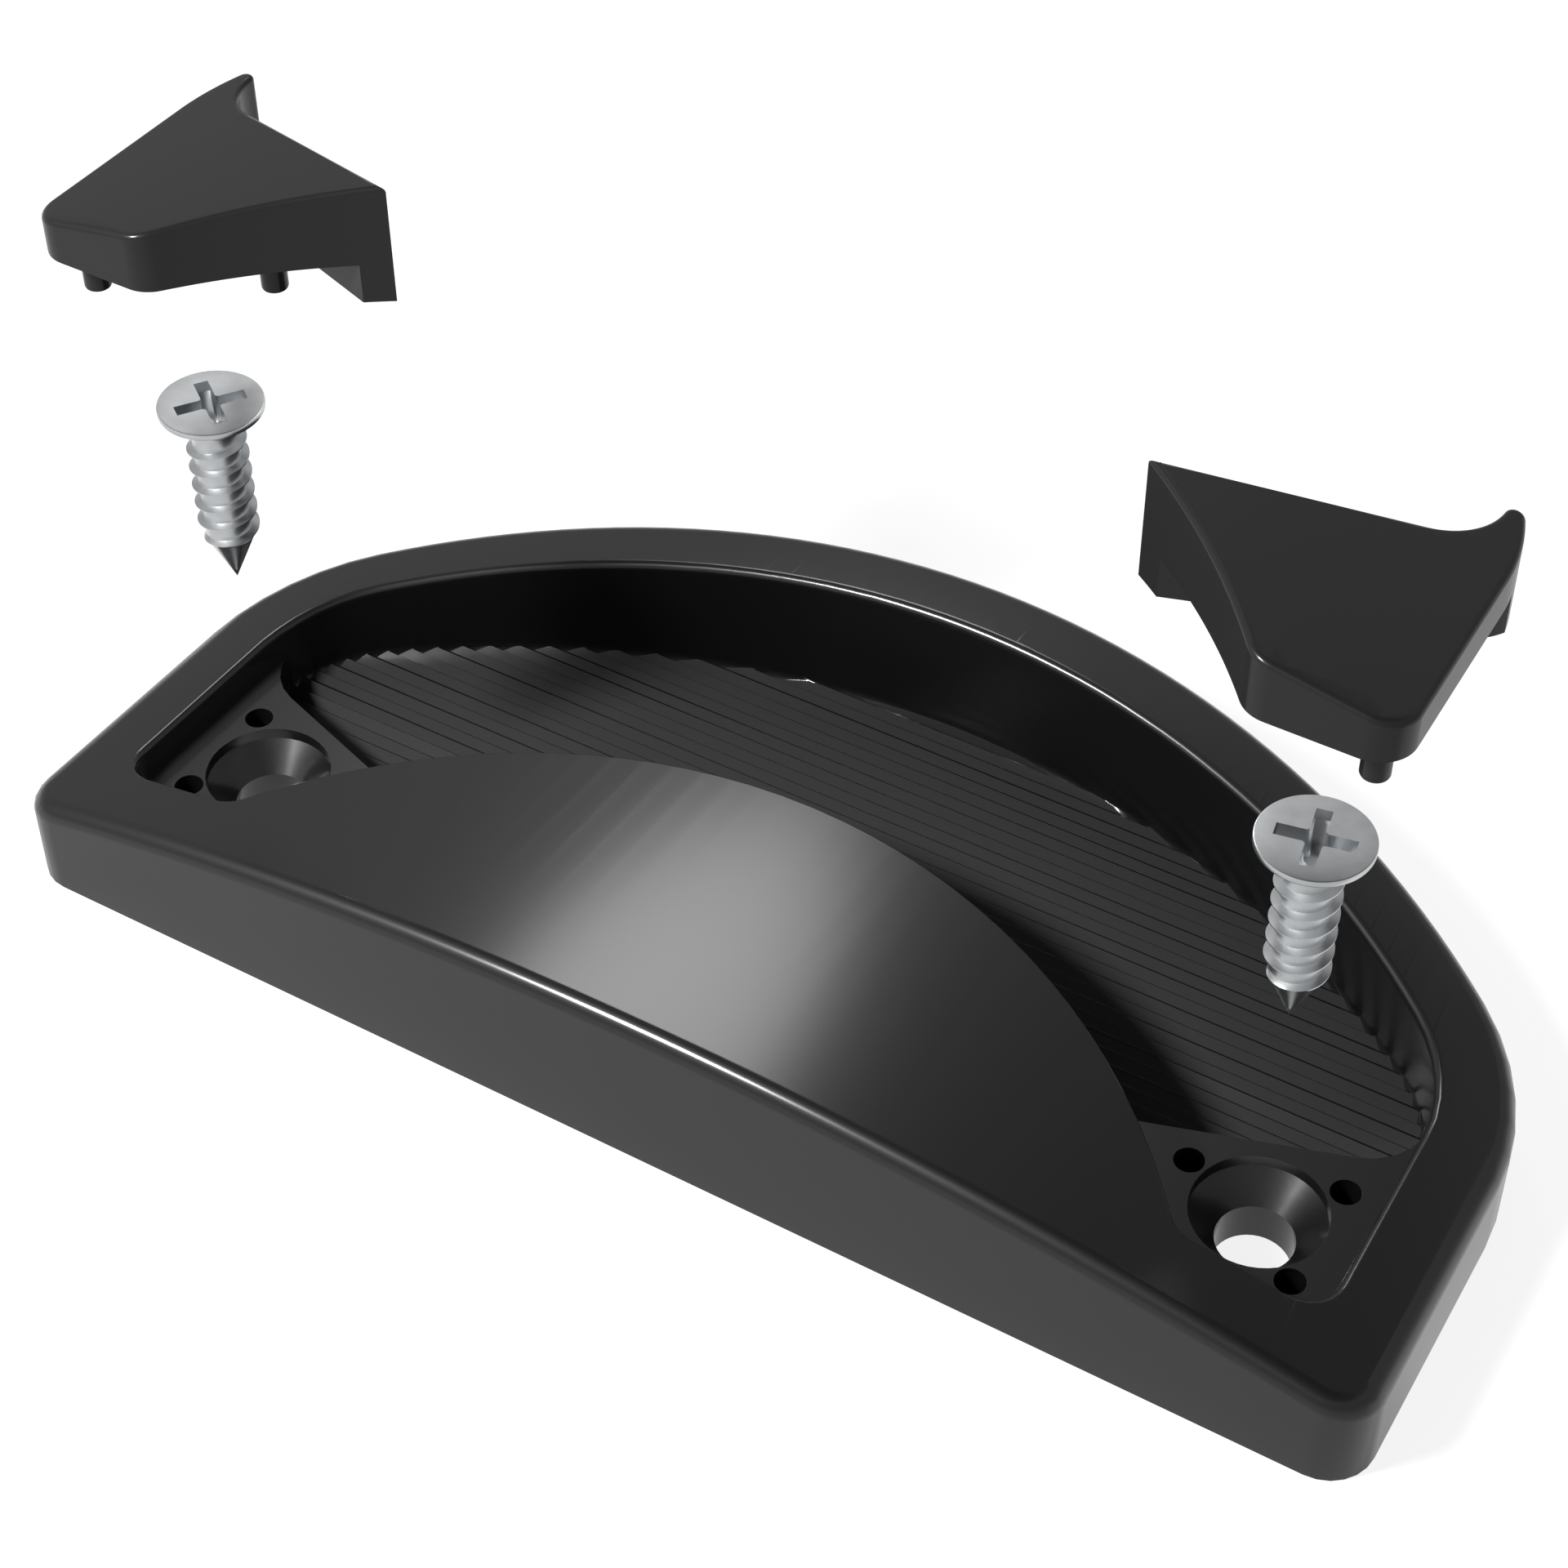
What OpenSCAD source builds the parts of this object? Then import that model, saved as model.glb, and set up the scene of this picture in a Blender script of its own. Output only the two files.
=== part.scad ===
// Half-moon recessed pull handle with two pocket covers and two countersunk screws.
// The back face lies on z = 0, the straight edge runs along X and the curved edge faces +Y.
// The origin is on the back face, midway between the two screw holes.
// Covers and screws stand above their seats, as parts ready to be fitted.

/* [Shell outline] */
// Overall length along the straight edge
handle_l = 159; // [150:0.5:175]
// Overall width from the straight edge to the back of the curve
handle_w = 77.5; // [72:0.5:84]
// Distance from the straight edge to the line through the screw holes
hole_line = 19.5; // [19:0.1:21]
// Radius of the long curved edge
back_r = 110.5; // [100:0.5:118]
// Radius that turns the curved edge into the sides
shoulder_r = 26; // [22:0.5:30]
// Radius of the two corners on the straight edge
corner_r = 5; // [3:0.5:7]
// Inward lean of the two sides, in degrees
side_lean = 1.3; // [0.5:0.1:4]

/* [Shell height] */
// Height at the middle of the arched top
crown_h = 19.5; // [18.5:0.1:24]
// Radius of the arched top
arch_r = 360; // [340:5:500]
// Rounding of the outer top edge
edge_r = 1.9; // [0.5:0.1:2.4]

/* [Mouth and finger recess] */
// Width of the rim round the sides and the back
rim_w = 8.4; // [6:0.1:9]
// Width of the rim along the straight edge, in front of the pockets
front_rim_w = 8.5; // [7:0.1:9.5]
// Distance from the straight edge to the tip of the lip
lip_reach = 36.1; // [33:0.1:40]
// Radius of the lip
lip_r = 70.5; // [64:0.5:76]
// Rounding of the mouth's edge on the rim
mouth_edge_r = 1; // [0.4:0.1:1.4]
// Thickness of the floor under the finger recess
recess_floor_t = 3.7; // [3:0.1:4.2]
// Rounding where the recess floor meets its walls
floor_blend_r = 1.7; // [1:0.1:2]

/* [Grip ribs] */
// Distance from one grip rib to the next
rib_pitch = 1.74; // [1.4:0.02:2.6]
// Height of a grip rib
rib_h = 0.6; // [0.3:0.05:0.8]

/* [Cover pockets] */
// Thickness of the floor under each cover
pocket_floor_t = 8.7; // [8.4:0.1:10]
// Distance from the screw hole to the step behind it
step_back = 9.2; // [8.8:0.1:10]
// Angle of the step to the straight edge, in degrees
step_angle = 18.4; // [15:0.1:22]
// Radius of the step's outer end
step_r = 7; // [5.5:0.1:8]
// Radius of the pocket's outer front corner
pocket_corner_r = 4; // [3:0.1:5]
// Radius between the lip and the pocket's front wall
lip_blend_r = 3.5; // [2.5:0.1:4.5]

/* [Screw holes and screws] */
// Distance between the two screw holes
hole_span = 120; // [112:1:128]
// Diameter of the screw holes
hole_d = 8; // [7:0.1:8.4]
// Diameter of the countersink
sink_d = 13.8; // [12:0.1:14]
// Depth of the straight wall above the countersink's cone
sink_wall = 1.36; // [0.8:0.01:1.8]
// Diameter of the screw head
head_d = 10.8; // [9.5:0.1:11.3]
// Thickness of the screw head's edge
head_edge = 0.7; // [0.4:0.05:1]
// Diameter over the screw's thread
screw_d = 6.25; // [5:0.05:6.5]
// Length of the screw, head included
screw_l = 22.5; // [19:0.5:32]
// Length of the screw's point
point_l = 3.8; // [2:0.1:5]

/* [Covers] */
// Gap between a cover and the walls of its pocket
cover_gap = 0.7; // [0.15:0.05:1]
// Gap between a cover's flange and the step
flange_gap = 0.25; // [0.15:0.05:0.5]
// Thickness of the flange that hangs over the step
flange_t = 2.2; // [1.6:0.1:2.8]
// Depth of the flange below the pocket's floor
flange_drop = 4.2; // [2.5:0.1:4.4]
// Rounding of the cover's top edge
cover_edge_r = 0.6; // [0.3:0.05:0.8]
// Diameter of the locating pins
pin_d = 2.65; // [2:0.05:3]
// Length of the locating pins
pin_l = 5.2; // [4:0.1:7]
// Gap round a locating pin in its hole
pin_gap = 0.25; // [0.1:0.05:0.4]

/* [Parts ready to be fitted] */
// Height of each cover above its seat
cover_lift = 71.5; // [60:0.5:90]
// Height of each screw above its seat
screw_lift = 52.8; // [40:0.1:58]

/* [Hidden] */
$fn = 96;

// Steps along each arc of the outlines. Front and back lists have the same number of points.
corner_steps = 6;
back_steps = 24;
pocket_front_steps = 3;
lip_blend_steps = 4;
lip_steps = back_steps - pocket_front_steps - lip_blend_steps;
round_steps = 4;

// Small play that keeps seated faces from sharing a plane, and the overrun of cutters.
seat_play = 0.05;
overrun = 1;
far = 100;

hole_x = hole_span / 2;
front_y = -hole_line;
back_y = handle_w - hole_line;
back_centre = [0, back_y - back_r];
lip_centre = [0, front_y + lip_reach - lip_r];
side_out = [cos(side_lean), sin(side_lean)];
side_up = [-sin(side_lean), cos(side_lean)];
corner_centre = [handle_l / 2 - corner_r, front_y + corner_r];
side_reach = corner_centre * side_out + corner_r;

// The step runs behind the hole, and a round end takes it out to the pocket's side wall.
step_dir = [cos(step_angle), sin(step_angle)];
step_back_dir = [-sin(step_angle), cos(step_angle)];
step_point = [hole_x, step_back];
shoulder_wall_r = shoulder_r - rim_w;
step_end_overlap = 0.4;
step_draw = step_r - step_end_overlap;
wall_centre = shoulder_centre(side_reach - rim_w, back_r - rim_w, shoulder_wall_r);
step_line = step_point + step_r * step_back_dir;
step_past_side = (side_reach - rim_w - step_draw - step_line * side_out) / (step_dir * side_out);
step_past_back = circle_exit(step_line, step_dir, back_centre, back_r - rim_w - step_draw);
step_corner = step_line + min(step_past_side, step_past_back) * step_dir;
step_at_shoulder = (step_corner - wall_centre) * side_up > 0
    && heading(step_corner - back_centre) < heading(wall_centre - back_centre);
step_end = step_at_shoulder
    ? step_line + circle_exit(step_line, step_dir, wall_centre, shoulder_wall_r - step_draw) * step_dir
    : step_corner;
step_end_turn = step_at_shoulder ? heading(step_end - wall_centre)
    : step_past_side < step_past_back ? side_lean : heading(step_end - back_centre);

// The horn is the outer end of a cover, where the flange turns along the side wall.
horn_turn = 8;
horn_r = 0.9;

// Locating pins, measured from the screw hole towards the outer end and the curved edge.
pin_places = [[-8.57, 2.27], [6.24, 6.42], [6.15, -6.2]];
pin_floor_t = 1.5;

sink_cone_h = (sink_d - hole_d) / 2;
head_cone_h = (head_d - screw_d) / 2;
head_seat_z = pocket_floor_t - sink_wall - (sink_d - head_d) / 2 + head_edge + seat_play;
cross_span = 7.2;
cross_wing = 1.4;
cross_depth = 2.4;

function arch_z(x) = crown_h - arch_r + sqrt(arch_r * arch_r - x * x);
function arc(centre, r, from, to, steps) =
    [for (i = [0:steps]) centre + r * [cos(from + (to - from) * i / steps),
                                       sin(from + (to - from) * i / steps)]];
function tail(list, start = 1) = [for (i = [start:len(list) - 1]) list[i]];
function heading(v) = atan2(v.y, v.x);

// How far a line from a point inside a circle runs before it leaves the circle.
function circle_exit(start, way, centre, r) =
    let (to = centre - start, along = to * way)
    along + sqrt(r * r - to * to + along * along);

// Centre of the arc that joins the side line to the long curve.
function shoulder_centre(side, r_back, r) =
    let (across = side - r - back_centre * side_out)
    (side - r) * side_out
    + (back_centre * side_up + sqrt(pow(r_back - r, 2) - across * across)) * side_up;

// Right half of the back edge, from the side line to the middle.
function back_half(side, r_back, r) =
    let (centre = shoulder_centre(side, r_back, r),
         turn = heading(centre - back_centre))
    concat(arc(centre, r, side_lean, turn, corner_steps),
           tail(arc(back_centre, r_back, turn, 90, back_steps)));

// Right half of a straight front edge, with stations that match the back edge.
function front_half(y, side, r, back) =
    let (cy = y + r,
         cx = (side - r - cy * sin(side_lean)) / cos(side_lean),
         first = back[corner_steps].x)
    concat(arc([cx, cy], r, side_lean, -90, corner_steps),
           [for (i = [1:back_steps]) [back[corner_steps + i].x * cx / first, y]]);

// Right half of the mouth's front edge: corner, pocket front wall, blend and lip.
function lip_half(y, side, r, inset) =
    let (cy = y + r,
         cx = (side - r - cy * sin(side_lean)) / cos(side_lean),
         blend = lip_blend_r - inset,
         lip = lip_r + inset,
         by = y + blend,
         bx = sqrt(pow(lip + blend, 2) - pow(by - lip_centre.y, 2)),
         turn = heading([bx, by] - lip_centre))
    concat(arc([cx, cy], r, side_lean, -90, corner_steps),
           [for (i = [1:pocket_front_steps - 1]) [cx + (bx - cx) * i / pocket_front_steps, y]],
           arc([bx, by], blend, -90, turn - 180, lip_blend_steps),
           tail(arc(lip_centre, lip, turn, 90, lip_steps)));

// A whole closed outline from its right halves, front edge first, anticlockwise.
function mirrored(half) = [for (p = half) [-p.x, p.y]];
function backwards(list) = [for (i = [len(list) - 1:-1:0]) list[i]];
function whole(front, back) =
    concat(mirrored(front), tail(backwards(front)), back, tail(backwards(mirrored(back))));

function outer_ring(inset) =
    let (back = back_half(side_reach - inset, back_r - inset, shoulder_r - inset))
    whole(front_half(front_y + inset, side_reach - inset, corner_r - inset, back), back);

// Outline of the mouth, drawn in by one amount at the rim and another at the lip.
function mouth_ring(rim_inset, lip_inset) =
    let (side = side_reach - rim_w - rim_inset,
         r = pocket_corner_r - (rim_inset + lip_inset) / 2)
    whole(lip_half(front_y + front_rim_w + lip_inset, side, r, lip_inset),
          back_half(side, back_r - rim_w - rim_inset, shoulder_wall_r - rim_inset));

function level(ring, z) = [for (p = ring) [p.x, p.y, z]];
function draped(ring, drop) = [for (p = ring) [p.x, p.y, arch_z(p.x) - drop]];

// A solid through a stack of rings, each the same number of points. The caps are strips that
// run from the front edge to the back edge, so that they follow the arch.
module loft(rings) {
    count = len(rings[0]);
    half = count / 2;
    top = (len(rings) - 1) * count;
    walls = [for (k = [0:len(rings) - 2], i = [0:count - 1])
        let (a = k * count + i, b = k * count + (i + 1) % count)
        each [[a, a + count, b], [b, a + count, b + count]]];
    floors = [for (i = [0:half - 2])
        let (a = i, b = i + 1, c = count - 2 - i, d = count - 1 - i)
        each [[a, b, c], [a, c, d]]];
    lids = [for (f = floors) [f[2] + top, f[1] + top, f[0] + top]];
    polyhedron([for (ring = rings) each ring], concat(walls, floors, lids), convexity = 6);
}

// Outer form of the shell: upright walls, a rounded top edge and the arched top.
module shell_form() {
    intersection() {
        loft(concat(
            [level(outer_ring(0), -overrun)],
            [for (i = [0:round_steps])
                let (a = 90 * i / round_steps)
                draped(outer_ring(edge_r * (1 - cos(a))), edge_r * (1 - sin(a)))]));
        translate([-far, -far, 0])
            cube([2 * far, 2 * far, 2 * crown_h]);
    }
}

// The space inside the rim, down to the ribs: rounded at the floor and at the mouth's edge.
module mouth_form() {
    base = recess_floor_t - rib_h;
    lip_share = 0.3;
    loft(concat(
        [for (i = [0:round_steps])
            let (a = 90 * i / round_steps, inset = floor_blend_r * (1 - sin(a)))
            level(mouth_ring(inset, inset), base + floor_blend_r * (1 - cos(a)))],
        [for (i = [0:round_steps])
            let (a = 90 * i / round_steps, outset = mouth_edge_r * (1 - cos(a)))
            draped(mouth_ring(-outset, -outset * lip_share), mouth_edge_r * (1 - sin(a)))],
        [level(mouth_ring(-mouth_edge_r, -mouth_edge_r * lip_share), crown_h + overrun)]));
}

// The step's edge on the right-hand side, grown back by an amount, with its round outer end
// turned as far as an angle.
function step_edge(grow, turn) =
    concat([step_point + grow * step_back_dir - hole_x * step_dir],
           arc(step_end, step_r - grow, step_angle - 90, turn, corner_steps));

// Plan of the ground in front of the step. It runs past the pocket's walls.
module step_plan() {
    edge = step_edge(0, step_end_turn);
    polygon(concat(edge, [[far, edge[len(edge) - 1].y], [far, -far], [edge[0].x, -far]]));
}

// Rounded tip of the horn at the outer end of a cover, from its inner side to the side wall.
function horn_tip() =
    let (r = step_r - flange_gap - flange_t,
         centre = step_end + (r + horn_r) * [cos(horn_turn), sin(horn_turn)])
    concat(tail(arc(centre, horn_r, 180 + horn_turn, 90, corner_steps)), [[far, centre.y + horn_r]]);

// Plan of a cover's back edge and all the ground in front of it.
module cover_plan() {
    edge = concat(step_edge(flange_gap + flange_t, horn_turn), horn_tip());
    polygon(concat(edge, [[far, -far], [edge[0].x, -far]]));
}

// Plan of the ground that a cover's flange leaves free.
module flange_clear_plan() {
    edge = step_edge(flange_gap, step_end_turn);
    polygon(concat(edge, [[far, edge[len(edge) - 1].y], [far, -far], [edge[0].x, -far]]));
}

// Grip ribs: a row of sawteeth across the whole recess.
module rib_bed() {
    rib_count = ceil(handle_w / rib_pitch);
    crest_share = 0.82;
    teeth = [for (i = [0:rib_count - 1])
        let (y = front_y + i * rib_pitch)
        each [[y, recess_floor_t], [y + crest_share * rib_pitch, recess_floor_t + rib_h]]];
    rotate([90, 0, 90])
        translate([0, 0, -far])
            linear_extrude(2 * far)
                polygon(concat([[front_y, -overrun]], teeth,
                               [[front_y + rib_count * rib_pitch, recess_floor_t],
                                [front_y + rib_count * rib_pitch, -overrun]]));
}

module both_sides() {
    children();
    mirror([1, 0, 0])
        children();
}

// Countersunk hole for one screw.
module screw_hole() {
    cone_top = pocket_floor_t - sink_wall;
    translate([0, 0, -overrun])
        cylinder(d = hole_d, h = pocket_floor_t);
    translate([0, 0, cone_top - sink_cone_h])
        cylinder(d1 = hole_d, d2 = sink_d, h = sink_cone_h);
    translate([0, 0, cone_top])
        cylinder(d = sink_d, h = sink_wall + overrun);
}

module pin_holes() {
    for (place = pin_places)
        translate([place.x, place.y, pin_floor_t])
            cylinder(d = pin_d + 2 * pin_gap, h = pocket_floor_t);
}

module grip_shell() {
    color("#2b2b2c")
        difference() {
            shell_form();
            difference() {
                mouth_form();
                both_sides()
                    translate([0, 0, -overrun])
                        linear_extrude(pocket_floor_t + overrun)
                            step_plan();
                rib_bed();
            }
            both_sides()
                translate([hole_x, 0, 0]) {
                    screw_hole();
                    pin_holes();
                }
        }
}

// A plug that fills the whole mouth with the cover's gap all round, its top edge rounded.
module mouth_plug() {
    loft(concat(
        [level(mouth_ring(cover_gap, cover_gap), 0)],
        [for (i = [0:round_steps])
            let (a = 90 * i / round_steps, inset = cover_gap + cover_edge_r * (1 - cos(a)))
            draped(mouth_ring(inset, inset), cover_edge_r * (1 - sin(a)))]));
}

// One cover in its pocket on the right-hand side: plate, flange over the step and pins.
module cover() {
    color("#303031") {
        difference() {
            intersection() {
                mouth_plug();
                translate([0, 0, pocket_floor_t - flange_drop])
                    linear_extrude(crown_h)
                        cover_plan();
            }
            translate([0, 0, -overrun])
                linear_extrude(pocket_floor_t + seat_play + overrun)
                    flange_clear_plan();
        }
        for (place = pin_places)
            translate([hole_x + place.x, place.y, pocket_floor_t + seat_play - pin_l])
                cylinder(d = pin_d, h = pin_l + overrun);
    }
}

module cover_right() {
    translate([0, 0, cover_lift])
        cover();
}

module cover_left() {
    mirror([1, 0, 0])
        cover_right();
}

// One screw, its head's top face on z = 0: countersunk head, cross recess, shank and point.
module screw() {
    tip_r = 0.3;
    color("#b9bbbe")
        difference() {
            rotate_extrude()
                polygon([[0, 0], [head_d / 2, 0], [head_d / 2, -head_edge],
                         [screw_d / 2, -head_edge - head_cone_h],
                         [screw_d / 2, point_l - screw_l], [tip_r, -screw_l], [0, -screw_l]]);
            for (turn = [0, 90])
                rotate(turn)
                    translate([-cross_span / 2, -cross_wing / 2, -cross_depth])
                        cube([cross_span, cross_wing, cross_depth + overrun]);
        }
}

module screw_right() {
    translate([hole_x, 0, head_seat_z + screw_lift])
        screw();
}

module screw_left() {
    mirror([1, 0, 0])
        screw_right();
}

grip_shell();
cover_left();
cover_right();
screw_left();
screw_right();
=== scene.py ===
"""Half-moon recessed pull handle: moulded shell, two pocket covers and two cross-recess screws."""
import math

import bmesh
import bpy
from mathutils import Euler, Matrix, Vector


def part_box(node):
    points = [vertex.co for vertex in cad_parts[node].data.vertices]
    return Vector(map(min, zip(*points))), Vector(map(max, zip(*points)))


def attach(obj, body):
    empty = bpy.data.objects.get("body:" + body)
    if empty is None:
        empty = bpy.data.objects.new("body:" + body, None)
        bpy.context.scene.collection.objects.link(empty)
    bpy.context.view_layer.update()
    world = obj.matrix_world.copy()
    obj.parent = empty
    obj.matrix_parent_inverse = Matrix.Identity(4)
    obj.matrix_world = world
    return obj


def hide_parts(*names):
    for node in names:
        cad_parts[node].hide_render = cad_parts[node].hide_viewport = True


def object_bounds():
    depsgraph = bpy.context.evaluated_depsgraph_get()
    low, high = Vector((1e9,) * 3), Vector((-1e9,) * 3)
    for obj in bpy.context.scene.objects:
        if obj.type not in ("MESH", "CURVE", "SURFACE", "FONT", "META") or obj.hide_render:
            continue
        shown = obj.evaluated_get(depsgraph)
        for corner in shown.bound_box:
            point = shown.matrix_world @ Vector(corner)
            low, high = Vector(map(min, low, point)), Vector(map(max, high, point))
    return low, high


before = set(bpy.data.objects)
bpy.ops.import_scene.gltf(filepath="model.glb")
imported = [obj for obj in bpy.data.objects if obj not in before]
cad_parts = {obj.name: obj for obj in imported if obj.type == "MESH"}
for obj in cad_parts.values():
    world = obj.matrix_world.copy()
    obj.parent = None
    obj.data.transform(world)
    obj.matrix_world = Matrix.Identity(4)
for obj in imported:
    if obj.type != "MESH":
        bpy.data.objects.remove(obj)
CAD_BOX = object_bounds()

bl_info = {
    "name": "Half-Moon Pull Handle",
    "version": (1, 0, 0),
    "blender": (4, 5, 0),
    "location": "View3D > Sidebar > Pull Handle",
    "description": "Finishes the moulded handle parts, makes the screws and sets up the studio",
    "category": "Add Mesh",
}

MM = 0.001
SHELL_NODE = "grip_shell"
COVER_NODES = ("cover_left", "cover_right")
SCREW_NODES = ("screw_left", "screw_right")
# Where each screw's cross recess points, in degrees from the straight edge.
CROSS_TURNS = (54.5, 11.5)
# Heights of the floor that the covers seat on and of the grip ribs' crests, above the flat back.
POCKET_FLOOR_Z = 8.7 * MM
RIB_CREST_Z = 4.3 * MM
# How far a seated cover stays above that floor, and how far its top stays under the CAD cover's.
SEAT_PLAY = 0.11 * MM
# Places of a cover's locating pins from its screw's axis, in millimetres, outwards and backwards.
PIN_PLACES = ((-8.57, 2.27), (6.24, 6.42), (6.15, -6.2))
# A distance well past any side of the handle.
FAR = 0.1
# Gap between the handle and the floor, which keeps the two from touching.
FLOOR_GAP = 0.2 * MM
# The point that the lamps face.
LAMP_AIM = (0, 0.012, 0.01)


def hex_rgb(code):
    """Linear RGB of an sRGB hex colour such as #1c1c1d."""
    channels = [int(code[i:i + 2], 16) / 255 for i in (1, 3, 5)]
    return [c / 12.92 if c <= 0.04045 else ((c + 0.055) / 1.055) ** 2.4 for c in channels]


# ---------------------------------------------------------------------------
# Sizes and colours
# ---------------------------------------------------------------------------

class PULLHANDLE_PG_plastic(bpy.types.PropertyGroup):
    """Finish of the moulded parts."""

    shell_colour: bpy.props.FloatVectorProperty(
        name="Shell Colour",
        description="Colour of the shell's plastic",
        subtype="COLOR",
        default=hex_rgb("#090909"),
    )
    cover_colour: bpy.props.FloatVectorProperty(
        name="Cover Colour",
        description="Colour of the covers' plastic",
        subtype="COLOR",
        default=hex_rgb("#1c1c1d"),
    )
    hole_break: bpy.props.FloatProperty(
        name="Broken Edge",
        description="Width of the small bevel round the holes and along the steps of the shell",
        default=0.18 * MM,
        unit="LENGTH",
    )
    crest_shift: bpy.props.FloatProperty(
        name="Crest Shift",
        description="How far the grip ribs' crests come forward of their plain place",
        default=0.28 * MM,
        unit="LENGTH",
    )
    grain: bpy.props.FloatProperty(
        name="Mould Grain",
        description="Width of the fine grain that the mould leaves on the plastic",
        default=0.6 * MM,
        unit="LENGTH",
    )


class PULLHANDLE_PG_cover(bpy.types.PropertyGroup):
    """Sizes of a cover and of the pocket that it fits, seen from above."""

    side_reach: bpy.props.FloatProperty(
        name="Pocket Side",
        description="Distance from the middle of the handle to the pocket's side wall",
        default=70.75 * MM,
        unit="LENGTH",
    )
    side_lean: bpy.props.FloatProperty(
        name="Side Lean",
        description="Angle between the side wall and the square to the straight edge",
        default=math.radians(1.3),
        unit="ROTATION",
    )
    front_y: bpy.props.FloatProperty(
        name="Pocket Front",
        description="Place of the pocket's front wall along Y",
        default=-11.0 * MM,
        unit="LENGTH",
    )
    lip_y: bpy.props.FloatProperty(
        name="Lip Centre",
        description="Place of the lip's centre along Y",
        default=-53.9 * MM,
        unit="LENGTH",
    )
    lip_r: bpy.props.FloatProperty(
        name="Lip Radius",
        description="Radius of the lip's curved edge",
        default=70.5 * MM,
        unit="LENGTH",
    )
    back_y: bpy.props.FloatProperty(
        name="Curve Centre",
        description="Place along Y of the centre of the long curve",
        default=-52.5 * MM,
        unit="LENGTH",
    )
    back_r: bpy.props.FloatProperty(
        name="Curve Radius",
        description="Radius of the recess's long curved wall",
        default=102.1 * MM,
        unit="LENGTH",
    )
    shoulder_r: bpy.props.FloatProperty(
        name="Shoulder Radius",
        description="Radius between the side wall and the long curved wall",
        default=17.6 * MM,
        unit="LENGTH",
    )
    shoulder_ease: bpy.props.FloatProperty(
        name="Shoulder Ease",
        description="How much larger than the pocket's the radius of the cover's shoulder is",
        default=5.0 * MM,
        unit="LENGTH",
    )
    corner_r: bpy.props.FloatProperty(
        name="Corner Radius",
        description="Radius of the cover's front corner and of its corner at the lip",
        default=3.5 * MM,
        unit="LENGTH",
    )
    step_back: bpy.props.FloatProperty(
        name="Step Place",
        description="Distance from the screw hole to the step behind it",
        default=9.2 * MM,
        unit="LENGTH",
    )
    step_angle: bpy.props.FloatProperty(
        name="Step Angle",
        description="Angle between the step and the straight edge",
        default=math.radians(18.4),
        unit="ROTATION",
    )
    step_r: bpy.props.FloatProperty(
        name="Step Radius",
        description="Radius of the step's round end",
        default=7.0 * MM,
        unit="LENGTH",
    )
    side_gap: bpy.props.FloatProperty(
        name="Side Gap",
        description="Gap between the cover and the pocket's side wall",
        default=1.4 * MM,
        unit="LENGTH",
    )
    front_gap: bpy.props.FloatProperty(
        name="Front Gap",
        description="Gap between the cover and the pocket's front wall and lip",
        default=0.35 * MM,
        unit="LENGTH",
    )
    flange_gap: bpy.props.FloatProperty(
        name="Flange Gap",
        description="Gap between the cover's flange and the step",
        default=0.25 * MM,
        unit="LENGTH",
    )
    flange_t: bpy.props.FloatProperty(
        name="Flange Thickness",
        description="Thickness of the flange that hangs behind the step",
        default=2.55 * MM,
        unit="LENGTH",
    )
    flange_drop: bpy.props.FloatProperty(
        name="Flange Drop",
        description="Distance that the flange hangs below the plate",
        default=4.2 * MM,
        unit="LENGTH",
    )
    hollow_r: bpy.props.FloatProperty(
        name="Hollow Radius",
        description="Radius of the flange's hollow side, where it bends towards the horn",
        default=7.0 * MM,
        unit="LENGTH",
    )
    horn_turn: bpy.props.FloatProperty(
        name="Horn Turn",
        description="How far the hollow side goes round before the horn's tip",
        default=math.radians(-3),
        unit="ROTATION",
    )
    horn_r: bpy.props.FloatProperty(
        name="Horn Radius",
        description="Radius of the round tip where the flange meets the side wall",
        default=0.95 * MM,
        unit="LENGTH",
    )
    edge_r: bpy.props.FloatProperty(
        name="Edge Radius",
        description="Rounding of the cover's top edge",
        default=0.6 * MM,
        unit="LENGTH",
    )
    pin_d: bpy.props.FloatProperty(
        name="Pin Diameter",
        description="Diameter of a locating pin",
        default=2.65 * MM,
        unit="LENGTH",
    )
    pin_l: bpy.props.FloatProperty(
        name="Pin Length",
        description="Length of a locating pin below the plate",
        default=5.2 * MM,
        unit="LENGTH",
    )
    arch_r: bpy.props.FloatProperty(
        name="Arch Radius",
        description="Radius of the arched top along the handle",
        default=360 * MM,
        unit="LENGTH",
    )


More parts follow.
